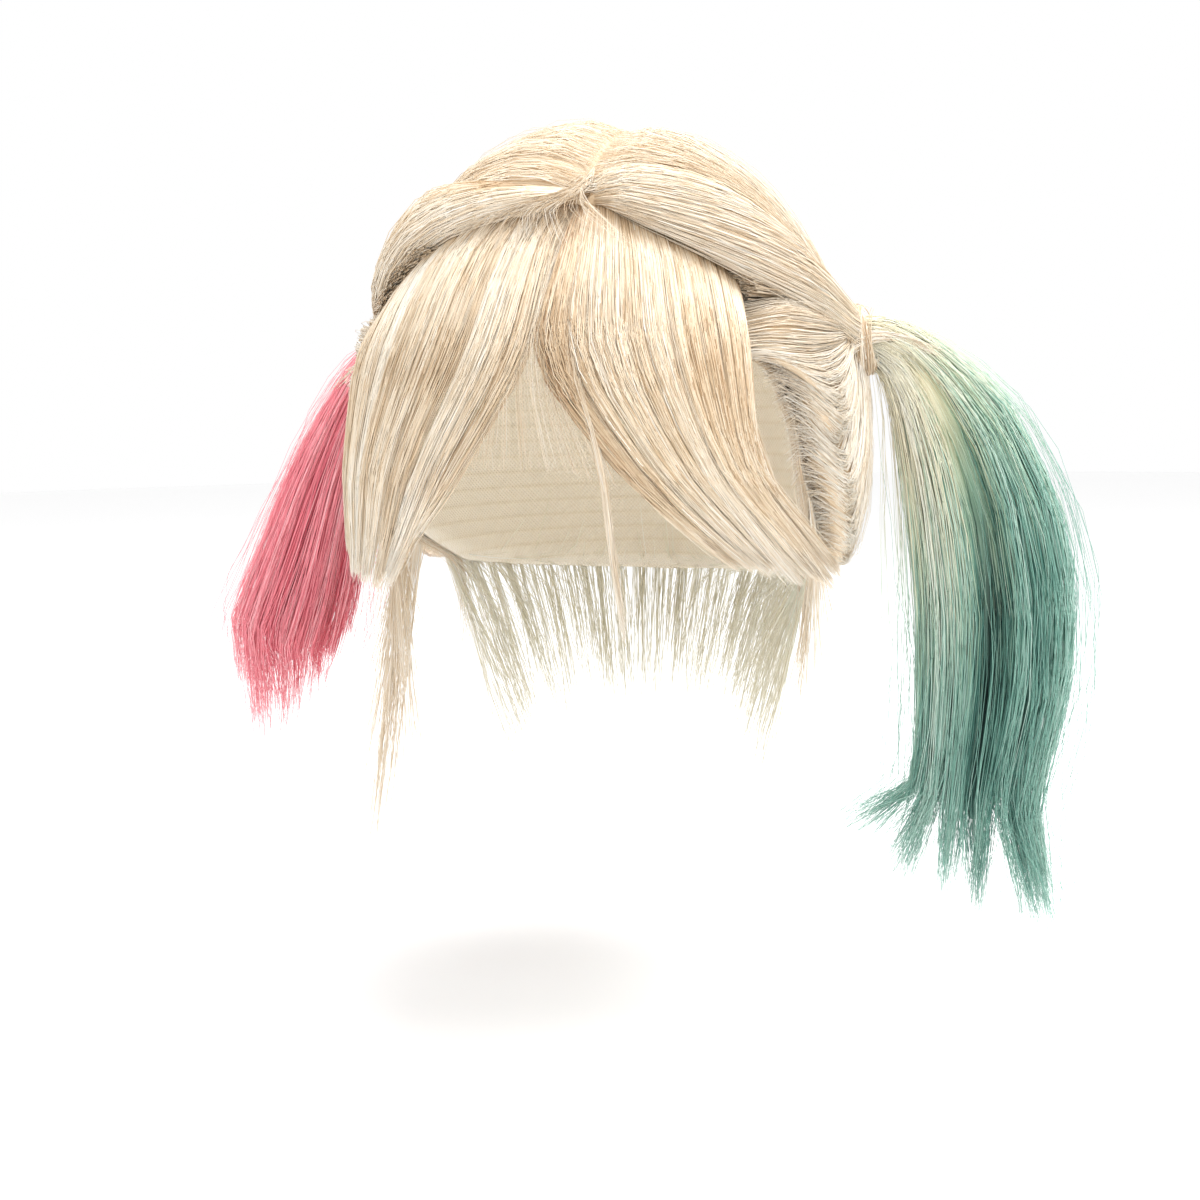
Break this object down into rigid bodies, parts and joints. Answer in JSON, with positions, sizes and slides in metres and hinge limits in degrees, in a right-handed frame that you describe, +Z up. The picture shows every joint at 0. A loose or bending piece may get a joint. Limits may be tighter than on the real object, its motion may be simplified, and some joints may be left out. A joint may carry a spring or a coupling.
{
  "type": "pigtail wig",
  "caption": "Synthetic hair wig with a blonde curtain fringe, combed crown and two high pigtails, one teal and one pink, on a thin cap.",
  "frame": {"origin": "top of the wearer's head, where it touches the inside of the cap", "axes": "+Z up, the wearer faces -Y, +X to the wearer's left"},
  "size_m": [0.3219, 0.2037, 0.2818],
  "materials": {
    "cap_net": "matte knitted net",
    "blonde_hair": "satin synthetic fibre",
    "nape_hair": "satin synthetic fibre",
    "teal_hair": "satin synthetic fibre",
    "pink_hair": "satin synthetic fibre"
  },
  "bodies": {
    "root": {"cap": "cap_net", "front_roll_left": "blonde_hair", "front_roll_right": "blonde_hair", "fringe_left": "blonde_hair", "fringe_right": "blonde_hair", "crown_hair_left": "blonde_hair", "crown_hair_right": "blonde_hair", "back_hair_left": "blonde_hair", "back_hair_right": "blonde_hair", "ear_hair_left": "blonde_hair", "ear_hair_right": "blonde_hair", "temple_hair_left": "blonde_hair", "temple_hair_right": "blonde_hair", "hair_tie_left": "blonde_hair", "hair_tie_right": "blonde_hair", "pigtail_left": "teal_hair", "pigtail_right": "pink_hair", "nape_hair_left": "nape_hair", "nape_hair_right": "nape_hair", "ear_wisps_left": "blonde_hair", "ear_wisps_right": "blonde_hair"}
  },
  "joints": []
}
